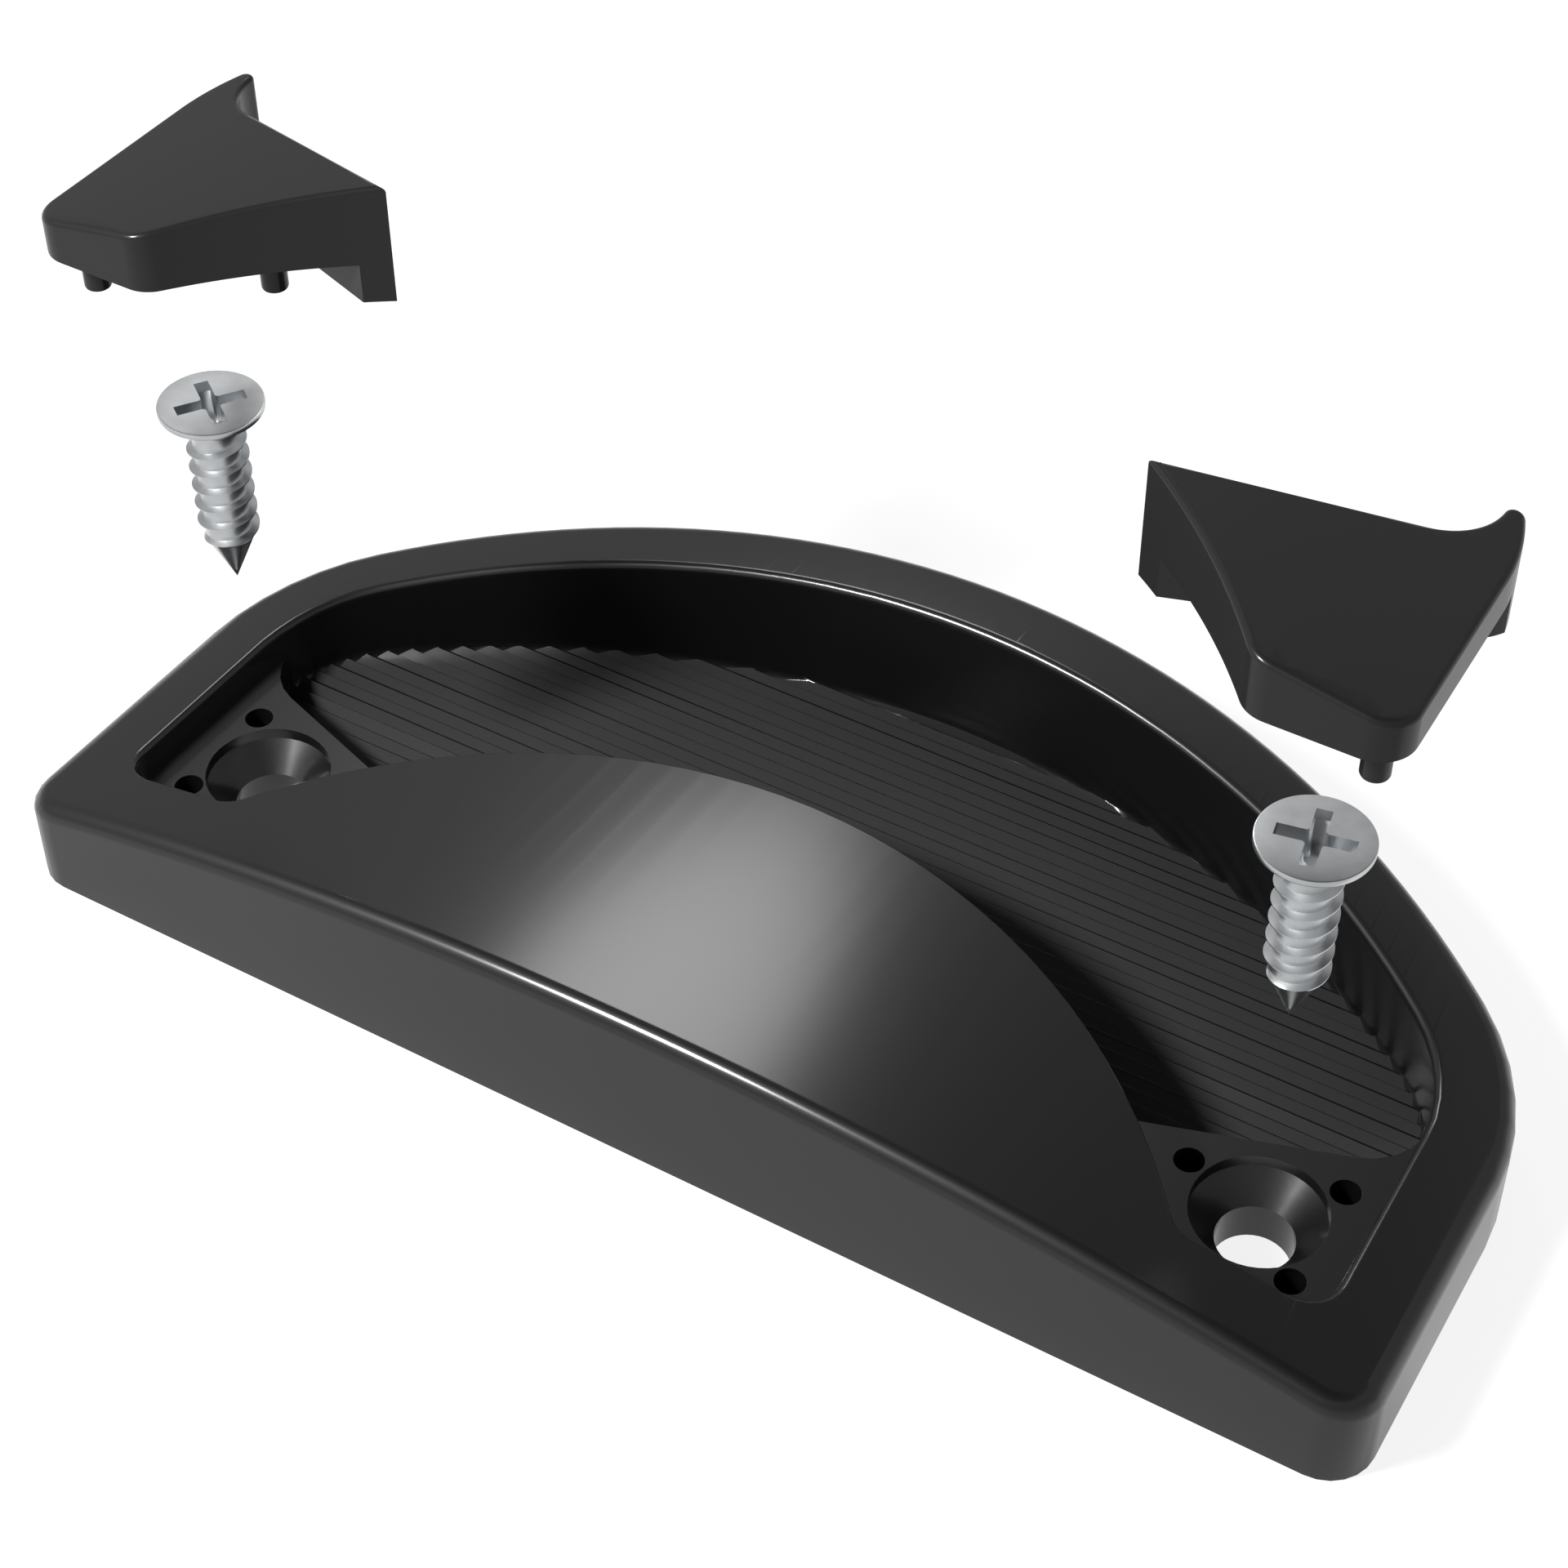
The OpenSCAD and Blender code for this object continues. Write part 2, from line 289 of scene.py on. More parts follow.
class PULLHANDLE_PG_screw(bpy.types.PropertyGroup):
    """Sizes of a screw. Its length and its head's width come from the CAD screw it stands for."""

    thread_d: bpy.props.FloatProperty(
        name="Thread Diameter",
        description="Diameter over the thread's crest",
        default=6.25 * MM,
        unit="LENGTH",
    )
    core_d: bpy.props.FloatProperty(
        name="Core Diameter",
        description="Diameter of the shank between the turns of the thread",
        default=4.88 * MM,
        unit="LENGTH",
    )
    pitch: bpy.props.FloatProperty(
        name="Thread Pitch",
        description="Distance from one turn of the thread to the next",
        default=2.25 * MM,
        unit="LENGTH",
    )
    point_l: bpy.props.FloatProperty(
        name="Point Length",
        description="Length of the cone at the screw's tip",
        default=5.6 * MM,
        unit="LENGTH",
    )
    head_edge: bpy.props.FloatProperty(
        name="Head Edge",
        description="Thickness of the head's upright edge",
        default=0.7 * MM,
        unit="LENGTH",
    )
    cross_span: bpy.props.FloatProperty(
        name="Cross Span",
        description="Width of the cross recess from wing tip to wing tip",
        default=7.3 * MM,
        unit="LENGTH",
    )
    cross_wing: bpy.props.FloatProperty(
        name="Wing Width",
        description="Width of one wing of the cross recess",
        default=1.5 * MM,
        unit="LENGTH",
    )
    cross_depth: bpy.props.FloatProperty(
        name="Cross Depth",
        description="Depth of the cross recess",
        default=2.9 * MM,
        unit="LENGTH",
    )


class PULLHANDLE_PG_stage(bpy.types.PropertyGroup):
    """Camera, lights and floor."""

    lens: bpy.props.FloatProperty(
        name="Lens",
        description="Focal length of the camera on a 36 mm wide sensor, in millimetres",
        default=75.05,
    )
    distance: bpy.props.FloatProperty(
        name="Camera Distance",
        description="Distance from the aim point to the camera",
        default=342.4 * MM,
        unit="LENGTH",
    )
    aim: bpy.props.FloatVectorProperty(
        name="Aim Point",
        description="Point that the camera looks at",
        default=(-4.0 * MM, 17.4 * MM, 20 * MM),
        subtype="TRANSLATION",
        unit="LENGTH",
    )
    turn: bpy.props.FloatVectorProperty(
        name="Camera Turn",
        description="Tilt from straight down, roll and turn of the camera",
        default=(math.radians(46.23), math.radians(0.25), math.radians(31.13)),
        subtype="EULER",
        unit="ROTATION",
    )
    floor_colour: bpy.props.FloatVectorProperty(
        name="Floor Colour",
        description="Colour of the studio floor",
        subtype="COLOR",
        default=hex_rgb("#808080"),
    )


# ---------------------------------------------------------------------------
# Node trees
# ---------------------------------------------------------------------------

def add_node(tree, kind, links=None, **settings):
    """Adds a node, sets its attributes or input values, and links its inputs by name."""
    node = tree.nodes.new(kind)
    for name, value in settings.items():
        if hasattr(node, name):
            setattr(node, name, value)
        else:
            node.inputs[name.replace("_", " ")].default_value = value
    for name, source in (links or {}).items():
        tree.links.new(source, node.inputs[name])
    return node


def new_material(name, **surface):
    """A material with an empty tree, its shader and its output."""
    material = bpy.data.materials.new(name)
    material.use_nodes = True
    tree = material.node_tree
    tree.nodes.clear()
    shader = add_node(tree, "ShaderNodeBsdfPrincipled")
    for socket, value in surface.items():
        shader.inputs[socket.replace("_", " ")].default_value = value
    add_node(tree, "ShaderNodeOutputMaterial", {"Surface": shader.outputs["BSDF"]})
    return material, tree, shader


def moulded_abs(name, colour, grain, ior=1.3, skin=1.0):
    """Injection-moulded black ABS from a polished mould: a deep black whose glossy skin lies over
    a duller body, with a very fine grain and slow changes of gloss where the melt cooled."""
    material, tree, shader = new_material(name, IOR=ior, Coat_Weight=skin, Coat_Roughness=0.18)
    place = add_node(tree, "ShaderNodeTexCoord").outputs["Object"]
    flow = add_node(tree, "ShaderNodeTexNoise", {"Vector": place},
                    Scale=1 / (18 * MM), Detail=2.0)
    tint = add_node(tree, "ShaderNodeMix", {"Factor": flow.outputs["Fac"]}, data_type="RGBA")
    tint.inputs["A"].default_value = [*[c * 0.92 for c in colour], 1]
    tint.inputs["B"].default_value = [*[c * 1.08 for c in colour], 1]
    rough = add_node(tree, "ShaderNodeMapRange", {"Value": flow.outputs["Fac"]},
                     To_Min=0.47, To_Max=0.53)
    # The real grain is under 0.1 mm. It is drawn coarser, so that it shows at this distance.
    fine = add_node(tree, "ShaderNodeTexNoise", {"Vector": place}, Scale=1 / grain, Detail=3.0)
    bump = add_node(tree, "ShaderNodeBump", {"Height": fine.outputs["Fac"]},
                    Strength=0.04, Distance=0.02 * MM)
    tree.links.new(tint.outputs["Result"], shader.inputs["Base Color"])
    tree.links.new(rough.outputs["Result"], shader.inputs["Roughness"])
    tree.links.new(bump.outputs["Normal"], shader.inputs["Normal"])
    return material


def plated_steel():
    """Cold-formed steel, bright nickel plated: a cool light grey mirror, a little softened by the
    fine drawing lines that forming leaves under the plating."""
    material, tree, shader = new_material("nickel_plated_steel", Metallic=1.0)
    place = add_node(tree, "ShaderNodeTexCoord").outputs["Object"]
    wear = add_node(tree, "ShaderNodeTexNoise", {"Vector": place}, Scale=1 / (1.5 * MM), Detail=3.0)
    tone = add_node(tree, "ShaderNodeMix", {"Factor": wear.outputs["Fac"]}, data_type="RGBA")
    tone.inputs["A"].default_value = [*hex_rgb("#cdd0d3"), 1]
    tone.inputs["B"].default_value = [*hex_rgb("#e3e5e6"), 1]
    rough = add_node(tree, "ShaderNodeMapRange", {"Value": wear.outputs["Fac"]},
                     To_Min=0.27, To_Max=0.32)
    tree.links.new(tone.outputs["Result"], shader.inputs["Base Color"])
    tree.links.new(rough.outputs["Result"], shader.inputs["Roughness"])
    return material


def studio_floor(colour):
    """Matt painted board: even white to the camera, and it keeps the object's soft shadow. In
    mirrors it adds a painted reflection glow, graded along Y.
    """
    material, tree, shader = new_material("matt_white_board", Roughness=0.9)
    shader.inputs["Base Color"].default_value = [*colour, 1]
    rays = add_node(tree, "ShaderNodeLightPath").outputs
    mirrored = add_node(tree, "ShaderNodeMath", operation="MAXIMUM")
    tree.links.new(rays["Is Glossy Ray"], mirrored.inputs[0])
    tree.links.new(rays["Is Transmission Ray"], mirrored.inputs[1])
    # Painted reflection: mirrored in the plastic, the board glows more behind the handle's front
    # wall than before it. This lightens the side walls' reflections and dims the front wall's.
    place = add_node(tree, "ShaderNodeTexCoord").outputs["Object"]
    along = add_node(tree, "ShaderNodeSeparateXYZ", {"Vector": place}).outputs["Y"]
    level = add_node(tree, "ShaderNodeMapRange", {"Value": along}, From_Min=-22 * MM,
                     From_Max=-2 * MM, To_Min=0.38, To_Max=0.74)
    painted_reflection_glow = add_node(tree, "ShaderNodeMath", operation="MULTIPLY")
    tree.links.new(mirrored.outputs[0], painted_reflection_glow.inputs[0])
    tree.links.new(level.outputs["Result"], painted_reflection_glow.inputs[1])
    # The camera sees the board as even white. Mirrors see the painted reflection glow.
    lift = add_node(tree, "ShaderNodeMath", operation="MAXIMUM")
    tree.links.new(rays["Is Camera Ray"], lift.inputs[0])
    tree.links.new(painted_reflection_glow.outputs[0], lift.inputs[1])
    glow = add_node(tree, "ShaderNodeEmission", {"Strength": lift.outputs[0]},
                    Color=(0.86, 0.86, 0.86, 1))
    both = add_node(tree, "ShaderNodeAddShader")
    tree.links.new(shader.outputs["BSDF"], both.inputs[0])
    tree.links.new(glow.outputs["Emission"], both.inputs[1])
    out = next(n for n in tree.nodes if n.type == "OUTPUT_MATERIAL")
    tree.links.new(both.outputs["Shader"], out.inputs["Surface"])
    return material


# ---------------------------------------------------------------------------
# Meshes
# ---------------------------------------------------------------------------

def mesh_object(name, bm, material):
    """A new object from a bmesh, in the scene's collection."""
    mesh = bpy.data.meshes.new(name)
    bm.to_mesh(mesh)
    bm.free()
    mesh.materials.append(material)
    piece = bpy.data.objects.new(name, mesh)
    bpy.context.scene.collection.objects.link(piece)
    return piece


def apply_modifiers(piece):
    """Replaces the object's mesh with what its modifiers make of it."""
    graph = bpy.context.evaluated_depsgraph_get()
    made = bpy.data.meshes.new_from_object(piece.evaluated_get(graph))
    piece.modifiers.clear()
    piece.data = made


def even_shading(piece, sharp):
    """Smooth faces that break only at edges sharper than an angle, with the large faces' normals
    kept true up to their rounded edges."""
    bm = bmesh.new()
    bm.from_mesh(piece.data)
    for face in bm.faces:
        face.smooth = True
    for edge in bm.edges:
        edge.smooth = len(edge.link_faces) == 2 and edge.calc_face_angle() < sharp
    bm.to_mesh(piece.data)
    bm.free()
    weights = piece.modifiers.new("large faces lead", "WEIGHTED_NORMAL")
    weights.mode = "FACE_AREA"
    weights.weight = 90
    weights.keep_sharp = True
    apply_modifiers(piece)


def combine(piece, tool, operation):
    """Cuts a closed tool from a closed piece, or adds it, and removes the tool."""
    step = piece.modifiers.new("combine", "BOOLEAN")
    step.object = tool
    step.operation = operation
    step.solver = "EXACT"
    apply_modifiers(piece)
    bpy.data.objects.remove(tool)


def stands_for(piece, node):
    """Puts a finished piece in a CAD node's place."""
    bpy.context.view_layer.update()
    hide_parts(node)
    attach(piece, node if node != SHELL_NODE else "shell")


# ---------------------------------------------------------------------------
# Operators
# ---------------------------------------------------------------------------

class PULLHANDLE_OT_shell(bpy.types.Operator):
    """Make the shell with broken edges round its holes and evenly shaded curves"""

    bl_idname = "pullhandle.shell"
    bl_label = "Shell"

    def execute(self, context):
        plastic = context.scene.pullhandle_plastic
        bm = bmesh.new()
        bm.from_mesh(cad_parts[SHELL_NODE].data)
        bmesh.ops.remove_doubles(bm, verts=bm.verts, dist=0.002 * MM)
        bmesh.ops.dissolve_limit(bm, angle_limit=math.radians(0.05), verts=bm.verts, edges=bm.edges)
        # The grip ribs' crests come forward a little, so that their short backs show as fine lines.
        for vert in bm.verts:
            if abs(vert.co.z - RIB_CREST_Z) < 0.01 * MM and abs(vert.normal.z) > 0.2:
                vert.co.y -= plastic.crest_shift
        marks = bm.edges.layers.float.new("bevel_weight_edge")
        for edge in bm.edges:
            level = all(abs(v.co.z - POCKET_FLOOR_Z) < 0.02 * MM for v in edge.verts)
            if level and edge.is_convex and edge.calc_face_angle(0) > math.radians(35):
                edge[marks] = 1.0
        material = moulded_abs("moulded_abs_shell", plastic.shell_colour, plastic.grain)
        shell = mesh_object("shell_moulding", bm, material)
        bevel = shell.modifiers.new("broken edges", "BEVEL")
        bevel.width = plastic.hole_break
        bevel.segments = 2
        bevel.limit_method = "WEIGHT"
        apply_modifiers(shell)
        even_shading(shell, math.radians(30))
        stands_for(shell, SHELL_NODE)
        return {"FINISHED"}


def arc(centre, radius, start, end, steps):
    """Points on an arc, both ends included, angles in radians."""
    return [centre + radius * Vector((math.cos(start + (end - start) * i / steps),
                                      math.sin(start + (end - start) * i / steps)))
            for i in range(steps + 1)]


def heading(way):
    return math.atan2(way.y, way.x)


def circle_crossing(start, way, centre, radius):
    """How far a line runs from a point before it leaves a circle."""
    to = centre - start
    along = to.dot(way)
    return along + math.sqrt(max(radius ** 2 - to.length_squared + along ** 2, 0))


def cover_outline(sizes, hole):
    """Outline of the right-hand cover from above, anticlockwise from the inner end of its back
    edge. Returns it with the outline of the ground that its flange stays behind."""
    out = Vector((math.cos(sizes.side_lean), math.sin(sizes.side_lean)))
    up = Vector((-out.y, out.x))
    dirn = Vector((math.cos(sizes.step_angle), math.sin(sizes.step_angle)))
    back = Vector((-dirn.y, dirn.x))
    side = sizes.side_reach - sizes.side_gap
    front = sizes.front_y + sizes.front_gap
    lip_c = Vector((0, sizes.lip_y))
    lip_r = sizes.lip_r + sizes.front_gap

    # The round shoulder between the side line and the long curve.
    back_c = Vector((0, sizes.back_y))
    wall_r = sizes.shoulder_r + sizes.shoulder_ease - sizes.side_gap
    across = side - wall_r - back_c.dot(out)
    rise = math.sqrt((sizes.back_r - sizes.side_gap - wall_r) ** 2 - across ** 2)
    shoulder_c = (side - wall_r) * out + (back_c.dot(up) + rise) * up

    # The step's round end, as far out as the pocket's wall lets it go. It is let into the wall a
    # little, so that no thin slot stays between them.
    line = hole + Vector((0, sizes.step_back)) + sizes.step_r * back
    let_in = 0.4 * MM
    draw = sizes.step_r - let_in
    pocket_across = sizes.side_reach - sizes.shoulder_r - back_c.dot(out)
    pocket_rise = math.sqrt((sizes.back_r - sizes.shoulder_r) ** 2 - pocket_across ** 2)
    pocket_c = (sizes.side_reach - sizes.shoulder_r) * out + (back_c.dot(up) + pocket_rise) * up
    to_side = (sizes.side_reach - draw - line.dot(out)) / dirn.dot(out)
    to_back = circle_crossing(line, dirn, back_c, sizes.back_r - draw)
    end, end_turn = line + min(to_side, to_back) * dirn, sizes.side_lean
    if (end - pocket_c).dot(up) > 0:
        end = line + circle_crossing(line, dirn, pocket_c, sizes.shoulder_r - draw) * dirn
        end_turn = heading(end - pocket_c)

    # The flange's hollow side slides out along the back edge until the horn's tip, which rounds
    # off between them, touches the outer wall.
    edge = hole + Vector((0, sizes.step_back)) + (sizes.flange_gap + sizes.flange_t) * back
    hollow, horn = sizes.hollow_r, sizes.horn_r
    tip_way = Vector((math.cos(sizes.horn_turn), math.sin(sizes.horn_turn)))

    def tip_at(along):
        return edge + hollow * back + along * dirn + (hollow + horn) * tip_way

    def room(along):
        tip = tip_at(along)
        if (tip - shoulder_c).dot(up) > 0:
            return wall_r - horn - (tip - shoulder_c).length
        return side - horn - tip.dot(out)

    inside, outside = -20 * MM, 20 * MM
    for _ in range(40):
        middle = (inside + outside) / 2
        inside, outside = (middle, outside) if room(middle) > 0 else (inside, middle)
    tip_c = tip_at(inside)
    hollow_c = tip_c - (hollow + horn) * tip_way
    in_shoulder = (tip_c - shoulder_c).dot(up) > 0
    outer = heading(tip_c - shoulder_c) if in_shoulder else sizes.side_lean

    # The corner at the lip, between the lip's curve and the front wall.
    blend = sizes.corner_r
    by = front + blend
    bx = math.sqrt((lip_r + blend) ** 2 - (by - lip_c.y) ** 2)
    corner_turn = heading(Vector((bx, by)) - lip_c)
    cx = (side - blend - by * out.y) / out.x

    # The inner end, where the back edge first meets the lip's curve.
    to = lip_c - edge
    along = to.dot(-dirn)
    inner = edge - (along - math.sqrt(lip_r ** 2 - to.length_squared + along ** 2)) * dirn

    points = arc(lip_c, lip_r, heading(inner - lip_c), corner_turn, 24)
    points += arc(Vector((bx, by)), blend, corner_turn - math.pi, -math.pi / 2, 10)[1:]
    points += arc(Vector((cx, by)), blend, -math.pi / 2, sizes.side_lean, 12)
    if in_shoulder:
        points += arc(shoulder_c, wall_r, sizes.side_lean, outer, 10)
    points += arc(tip_c, horn, outer, sizes.horn_turn + math.pi, 14)[1 if in_shoulder else 0:]
    points += arc(hollow_c, hollow, sizes.horn_turn, sizes.step_angle - math.pi / 2, 20)[1:]

    free = arc(end, sizes.step_r - sizes.flange_gap, sizes.step_angle - math.pi / 2, end_turn, 24)
    start = hole + Vector((0, sizes.step_back)) + sizes.flange_gap * back - 60 * MM * dirn
    ground = [start, *free, Vector((FAR, free[-1].y)), Vector((FAR, -FAR / 2)),
              Vector((start.x, -FAR / 2))]
    return points, ground


def inset(points, amount):
    """A closed anticlockwise outline drawn in by an amount."""
    drawn = []
    for i, point in enumerate(points):
        before = (point - points[i - 1]).normalized()
        after = (points[(i + 1) % len(points)] - point).normalized()
        square = Vector((-(before.y + after.y), before.x + after.x)).normalized()
        share = max(square.dot(Vector((-before.y, before.x))), 0.4)
        drawn.append(point + square * amount / share)
    return drawn


def prism(outline, low, high):
    """A closed upright prism."""
    bm = bmesh.new()
    base = [bm.verts.new((p.x, p.y, low)) for p in outline]
    lid = [bm.verts.new((p.x, p.y, high)) for p in outline]
    bm.faces.new(list(reversed(base)))
    bm.faces.new(lid)
    for i in range(len(outline)):
        j = (i + 1) % len(outline)
        bm.faces.new((base[i], base[j], lid[j], lid[i]))
    bmesh.ops.triangulate(bm, faces=[f for f in bm.faces if len(f.verts) > 4])
    bmesh.ops.recalc_face_normals(bm, faces=bm.faces)
    return bm


def arched_plate(outline, low, crown, sizes):
    """The cover's block: upright walls, a rounded top edge and an arched top."""
    def arch(x):
        return crown - sizes.arch_r + math.sqrt(sizes.arch_r ** 2 - x ** 2)

    bm = bmesh.new()
    rings = [[bm.verts.new((p.x, p.y, low)) for p in outline]]
    # The rounded top edge, in six steps from the wall to the top.
    steps = 6
    for i in range(steps + 1):
        turn = math.pi / 2 * i / steps
        ring = inset(outline, sizes.edge_r * (1 - math.cos(turn)))
        drop = sizes.edge_r * (1 - math.sin(turn))
        rings.append([bm.verts.new((p.x, p.y, arch(p.x) - drop)) for p in ring])
    for lower, upper in zip(rings, rings[1:]):
        for i in range(len(outline)):
            j = (i + 1) % len(outline)
            bm.faces.new((lower[i], lower[j], upper[j], upper[i]))
    bottom = bm.faces.new(list(reversed(rings[0])))
    top = bm.faces.new(rings[-1])
    bmesh.ops.triangulate(bm, faces=[bottom])
    on_top = bmesh.ops.triangulate(bm, faces=[top])["faces"]
    # The flat top is cut across in strips, and each cut is lifted to the arch.
    strip = 2 * MM
    x = min(p.x for p in outline)
    while x < max(p.x for p in outline):
        geometry = set(on_top)
        for face in on_top:
            geometry.update(face.edges)
            geometry.update(face.verts)
        cut = bmesh.ops.bisect_plane(bm, geom=list(geometry), dist=1e-7,
                                     plane_co=(x, 0, 0), plane_no=(1, 0, 0))
        on_top = [g for g in cut["geom"] if isinstance(g, bmesh.types.BMFace)]
        x += strip
    for face in on_top:
        for vert in face.verts:
            vert.co.z = arch(vert.co.x)
    return bm


class PULLHANDLE_OT_covers(bpy.types.Operator):
    """Make the two pocket covers, with their flanges, horns and locating pins"""

    bl_idname = "pullhandle.covers"
    bl_label = "Pocket Covers"

    def execute(self, context):
        sizes = context.scene.pullhandle_cover
        plastic = context.scene.pullhandle_plastic
        material = moulded_abs("moulded_abs_cover", plastic.cover_colour, plastic.grain,
                               ior=1.2, skin=0.55)
        for name in COVER_NODES:
            low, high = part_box(name)
            shell_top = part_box(SHELL_NODE)[1].z
            screw_low, screw_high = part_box(name.replace("cover", "screw"))
            hole = Vector((abs(screw_low.x + screw_high.x) / 2, (screw_low.y + screw_high.y) / 2))
            plate_z = low.z + sizes.pin_l
            lift = plate_z - POCKET_FLOOR_Z - SEAT_PLAY
            outline, ground = cover_outline(sizes, hole)
            piece = mesh_object(f"{name}_moulding",
                                arched_plate(outline, plate_z - sizes.flange_drop,
                                             shell_top + lift, sizes), material)
            combine(piece, mesh_object("ground", prism(ground, plate_z - FAR / 5, plate_z),
                                       material), "DIFFERENCE")
            r, soft, root = sizes.pin_d / 2, 0.25 * MM, plate_z + 0.8 * MM
            for across, along in PIN_PLACES:
                bm = bmesh.new()
                lathe(bm, [(0, low.z), (r - soft, low.z), (r - 0.3 * soft, low.z + 0.3 * soft),
                           (r, low.z + soft), (r, root), (0, root)], 32)
                bmesh.ops.recalc_face_normals(bm, faces=bm.faces)
                bmesh.ops.translate(bm, verts=bm.verts,
                                    vec=(hole.x + across * MM, hole.y + along * MM, 0))
                combine(piece, mesh_object("pin", bm, material), "UNION")
            if low.x + high.x < 0:
                piece.data.transform(Matrix.Scale(-1, 4, (1, 0, 0)))
                piece.data.flip_normals()
            even_shading(piece, math.radians(30))
            stands_for(piece, name)
        return {"FINISHED"}


def lathe(bm, profile, steps):
    """Turns a profile of (radius, height) points round Z. Its end points close on the axis."""
    rings = []
    for radius, height in profile:
        if radius == 0:
            rings.append([bm.verts.new((0, 0, height))] * steps)
            continue
        rings.append([bm.verts.new((radius * math.cos(2 * math.pi * i / steps),
                                    radius * math.sin(2 * math.pi * i / steps), height))
                      for i in range(steps)])
    for lower, upper in zip(rings, rings[1:]):
        for i in range(steps):
            j = (i + 1) % steps
            corners = dict.fromkeys((lower[i], lower[j], upper[j], upper[i]))
            bm.faces.new(list(corners))


def thread_surface(bm, sizes, top, tip):
    """The shank's outer surface, wound in one strip: a slim vee thread with wide roots, which
    starts under the head and stops at a last ring where the smooth cone point begins."""
    steps = 60
    core, crest = sizes.core_d / 2, sizes.thread_d / 2
    # One pitch of the thread, as (share of the pitch, share of the thread's depth).
    vee = [(0.0, 0.0), (0.17, 0.0), (0.34, 0.0), (0.41, 0.5), (0.47, 1.0),
           (0.53, 1.0), (0.59, 0.5), (0.66, 0.0), (0.83, 0.0)]
    point_top = tip + sizes.point_l
    turns = math.ceil((top - point_top) / sizes.pitch) + 2
    ring = 0.16 * sizes.pitch
    lathe(bm, [(0, tip), (0.25 * core, tip + 0.25 * sizes.point_l), (core, point_top),
               (0.8 * core + 0.2 * crest, point_top + ring), (core, point_top + 2 * ring),
               (0, point_top + 2 * ring)], steps)

    def surface_point(step, share, depth):
        angle = 2 * math.pi * step / steps
        z = point_top + (step / steps + share - 1) * sizes.pitch
        z = min(max(z, point_top), top)
        start = min(1.0, (z - point_top) / (0.35 * sizes.pitch))
        finish = min(1.0, (top - z) / (0.5 * sizes.pitch))
        radius = core + (crest - core) * depth * start * finish
        return (radius * math.cos(angle), radius * math.sin(angle), z)

    columns = []
    for step in range(steps * turns):
        columns.append([bm.verts.new(surface_point(step, share, depth)) for share, depth in vee])
    for step in range(steps * turns - 1):
        here, ahead = columns[step], columns[step + 1]
        for k in range(len(vee) - 1):
            bm.faces.new((here[k], ahead[k], ahead[k + 1], here[k + 1]))
        above = step + steps
        if above + 1 < steps * turns:
            bm.faces.new((here[-1], ahead[-1], columns[above + 1][0], columns[above][0]))


def cross_cutter(sizes):
    """A tapered cross with a wide middle, to cut the recess in the screw's head."""
    bm = bmesh.new()
    rings = []
    # Each level of the cutter: height, then the shares of the span and of the wing's width.
    levels = ((0.4 * MM, 1.0, 1.0), (-0.4 * sizes.cross_depth, 0.97, 0.96),
              (-0.8 * sizes.cross_depth, 0.6, 0.85), (-sizes.cross_depth, 0.25, 0.5))
    for height, span, width in levels:
        reach, half = span * sizes.cross_span / 2, width * sizes.cross_wing / 2
        inner = min(half * 1.3, reach)
        corner = [(reach, -half), (reach, half), (inner, half), (half, inner)]
        ring = []
        for quarter in range(4):
            turn = Euler((0, 0, quarter * math.pi / 2)).to_matrix()
            ring += [bm.verts.new(turn @ Vector((x, y, height))) for x, y in corner]
        rings.append(ring)
    for upper, lower in zip(rings, rings[1:]):
        for i in range(len(upper)):
            j = (i + 1) % len(upper)
            bm.faces.new((upper[i], lower[i], lower[j], upper[j]))
    bm.faces.new(rings[0])
    bm.faces.new(list(reversed(rings[-1])))
    bmesh.ops.recalc_face_normals(bm, faces=bm.faces)
    return bm


class PULLHANDLE_OT_screws(bpy.types.Operator):
    """Make the two countersunk tapping screws, with thread, point and cross recess"""

    bl_idname = "pullhandle.screws"
    bl_label = "Screws"

    def execute(self, context):
        sizes = context.scene.pullhandle_screw
        steel = plated_steel()
        for name, turn in zip(SCREW_NODES, CROSS_TURNS):
            low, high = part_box(name)
            head_r = (high.x - low.x) / 2
            length = high.z - low.z
            neck_r = sizes.core_d / 2
            edge = -sizes.head_edge
            neck = edge - (head_r - sizes.thread_d / 2)
            soft = 0.12 * MM
            bm = bmesh.new()
            lathe(bm, [(0, 0), (head_r * 0.6, 0), (head_r - soft, 0),
                       (head_r - soft * 0.3, -soft * 0.3), (head_r, -soft), (head_r, edge + soft),
                       (head_r - soft * 0.3, edge + soft * 0.3), (head_r - soft, edge),
                       (neck_r + soft, neck + soft), (neck_r, neck - 0.6 * MM),
                       (neck_r, neck - 1.2 * MM), (0, neck - 1.2 * MM)], 96)
            bmesh.ops.recalc_face_normals(bm, faces=bm.faces)
            head = mesh_object(f"{name}_head", bm, steel)
            cutter = mesh_object("cross_cutter", cross_cutter(sizes), steel)
            cutter.data.transform(Matrix.Rotation(math.radians(turn), 4, "Z"))
            cut = head.modifiers.new("cross recess", "BOOLEAN")
            cut.object = cutter
            cut.operation = "DIFFERENCE"
            apply_modifiers(head)
            bpy.data.objects.remove(cutter)
            bm = bmesh.new()
            bm.from_mesh(head.data)
            thread_surface(bm, sizes, neck - 0.2 * MM, -length)
            bmesh.ops.dissolve_degenerate(bm, dist=0.001 * MM, edges=bm.edges)
            bpy.data.objects.remove(head)
            screw = mesh_object(f"{name}_threaded", bm, steel)
            screw.data.transform(Matrix.Translation(((low.x + high.x) / 2, (low.y + high.y) / 2,
                                                     high.z)))
            even_shading(screw, math.radians(35))
            stands_for(screw, name)
        return {"FINISHED"}


# Brightness of the studio's walls and ceiling by height: the sine of the angle above the floor.
SKY = ((0.0, 0.50), (0.30, 0.34), (0.55, 0.38), (0.69, 0.44), (0.74, 0.18), (0.90, 0.05),
       (1.0, 0.02))

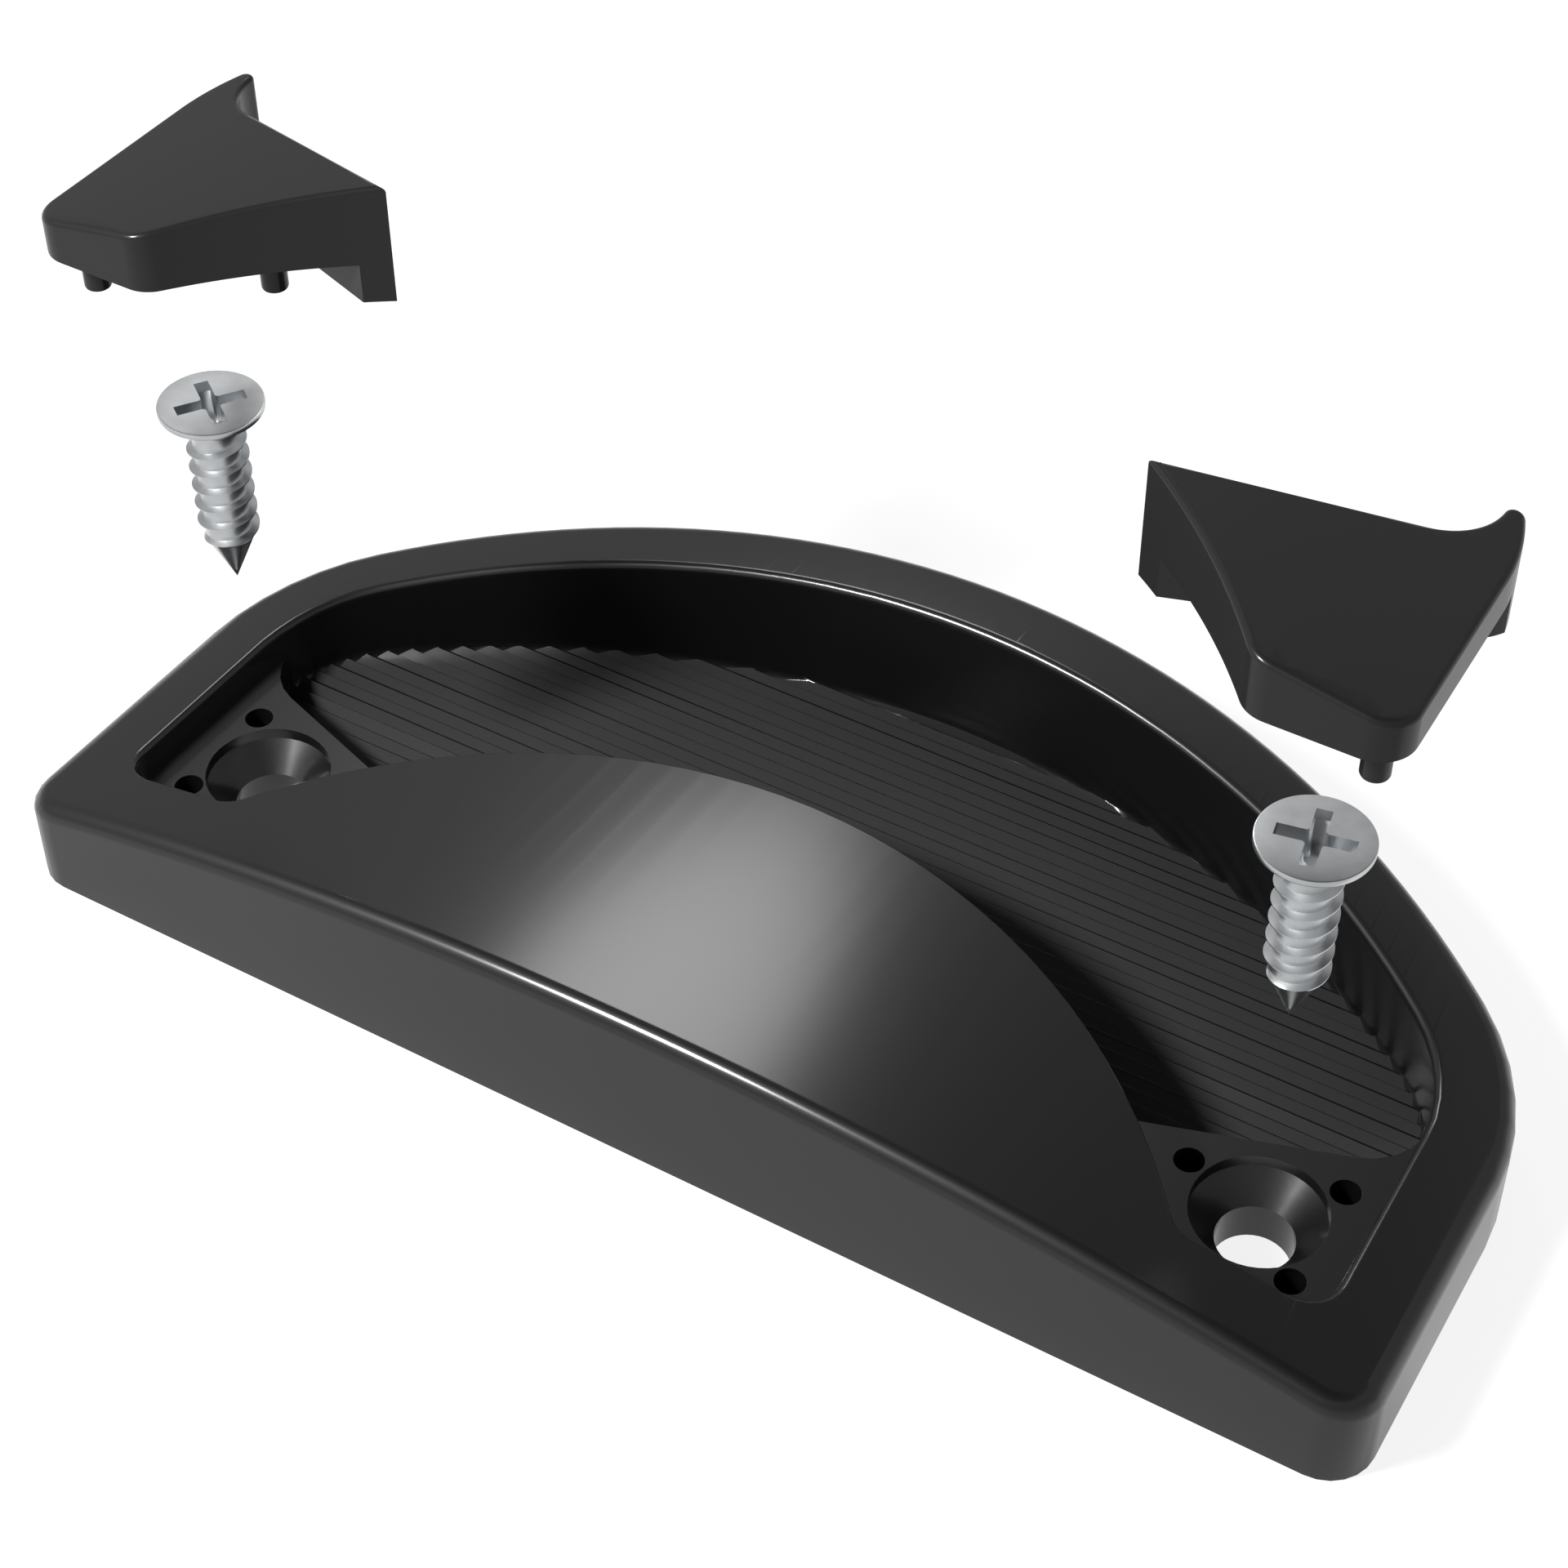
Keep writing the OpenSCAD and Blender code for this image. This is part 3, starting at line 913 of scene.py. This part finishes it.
# Each lamp: name, direction from the handle, distance and diameter in metres, and power in watts.
LAMPS = (
    ("key_softbox", (-0.36, -0.58, 0.73), 0.55, 0.10, 3.9),
    ("back_softbox", (-0.385, 0.50, 0.775), 0.60, 0.16, 0.48),
)


class PULLHANDLE_OT_stage(bpy.types.Operator):
    """Make the white floor, the lights and the camera"""

    bl_idname = "pullhandle.stage"
    bl_label = "Stage"

    def execute(self, context):
        stage = context.scene.pullhandle_stage
        scene = context.scene
        bm = bmesh.new()
        bmesh.ops.create_grid(bm, x_segments=1, y_segments=1, size=3.0)
        floor = mesh_object("studio_floor", bm, studio_floor(stage.floor_colour))
        floor.location.z = CAD_BOX[0].z - FLOOR_GAP

        world = bpy.data.worlds.new("studio")
        scene.world = world
        world.use_nodes = True
        tree = world.node_tree
        tree.nodes.clear()
        way = add_node(tree, "ShaderNodeTexCoord").outputs["Generated"]
        up = add_node(tree, "ShaderNodeSeparateXYZ", {"Vector": way}).outputs["Z"]
        ramp = add_node(tree, "ShaderNodeValToRGB", {"Fac": up})
        while len(ramp.color_ramp.elements) < len(SKY):
            ramp.color_ramp.elements.new(1.0)
        for stop, (height, level) in zip(ramp.color_ramp.elements, SKY):
            stop.position = height
            stop.color = (level, level, level, 1)
        seen = add_node(tree, "ShaderNodeLightPath").outputs["Is Camera Ray"]
        tone = add_node(tree, "ShaderNodeMix", {"Factor": seen}, data_type="RGBA")
        tree.links.new(ramp.outputs["Color"], tone.inputs["A"])
        tone.inputs["B"].default_value = (1, 1, 1, 1)
        sky = add_node(tree, "ShaderNodeBackground", {"Color": tone.outputs["Result"]},
                       Strength=1.0)
        add_node(tree, "ShaderNodeOutputWorld", {"Surface": sky.outputs["Background"]})

        for name, way, distance, size, power in LAMPS:
            light = bpy.data.lights.new(name, "AREA")
            light.shape = "DISK"
            light.size = size
            light.energy = power
            lamp = bpy.data.objects.new(name, light)
            scene.collection.objects.link(lamp)
            toward = Vector(way).normalized()
            lamp.location = Vector(LAMP_AIM) + toward * distance
            lamp.rotation_mode = "QUATERNION"
            lamp.rotation_quaternion = toward.to_track_quat("Z", "Y")

        camera_data = bpy.data.cameras.new("camera")
        camera_data.lens = stage.lens
        camera_data.sensor_width = 36
        camera = bpy.data.objects.new("camera", camera_data)
        scene.collection.objects.link(camera)
        turn = Euler(stage.turn)
        camera.rotation_euler = turn
        camera.location = Vector(stage.aim) + turn.to_matrix() @ Vector((0, 0, stage.distance))
        camera_data.clip_start = 0.01
        scene.camera = camera
        scene.view_settings.view_transform = "Standard"
        return {"FINISHED"}


class PULLHANDLE_PT_panel(bpy.types.Panel):
    """Sidebar panel with the sizes, the colours and the operators"""

    bl_idname = "PULLHANDLE_PT_panel"
    bl_label = "Pull Handle"
    bl_space_type = "VIEW_3D"
    bl_region_type = "UI"
    bl_category = "Pull Handle"

    def draw(self, context):
        layout = self.layout
        for name in SETTINGS:
            box = layout.box()
            group = getattr(context.scene, name)
            for key in group.bl_rna.properties.keys():
                if key not in ("rna_type", "name"):
                    box.prop(group, key)
        for operator in OPERATORS:
            layout.operator(operator.bl_idname)


SETTINGS = {
    "pullhandle_plastic": PULLHANDLE_PG_plastic,
    "pullhandle_cover": PULLHANDLE_PG_cover,
    "pullhandle_screw": PULLHANDLE_PG_screw,
    "pullhandle_stage": PULLHANDLE_PG_stage,
}
OPERATORS = (PULLHANDLE_OT_shell, PULLHANDLE_OT_covers, PULLHANDLE_OT_screws, PULLHANDLE_OT_stage)


def register():
    for cls in (*SETTINGS.values(), *OPERATORS, PULLHANDLE_PT_panel):
        bpy.utils.register_class(cls)
    for name, group in SETTINGS.items():
        setattr(bpy.types.Scene, name, bpy.props.PointerProperty(type=group))


def unregister():
    for name in SETTINGS:
        delattr(bpy.types.Scene, name)
    for cls in reversed((*SETTINGS.values(), *OPERATORS, PULLHANDLE_PT_panel)):
        bpy.utils.unregister_class(cls)


def main():
    register()
    bpy.ops.pullhandle.shell()
    bpy.ops.pullhandle.covers()
    bpy.ops.pullhandle.screws()
    bpy.ops.pullhandle.stage()


if __name__ == "__main__":
    main()
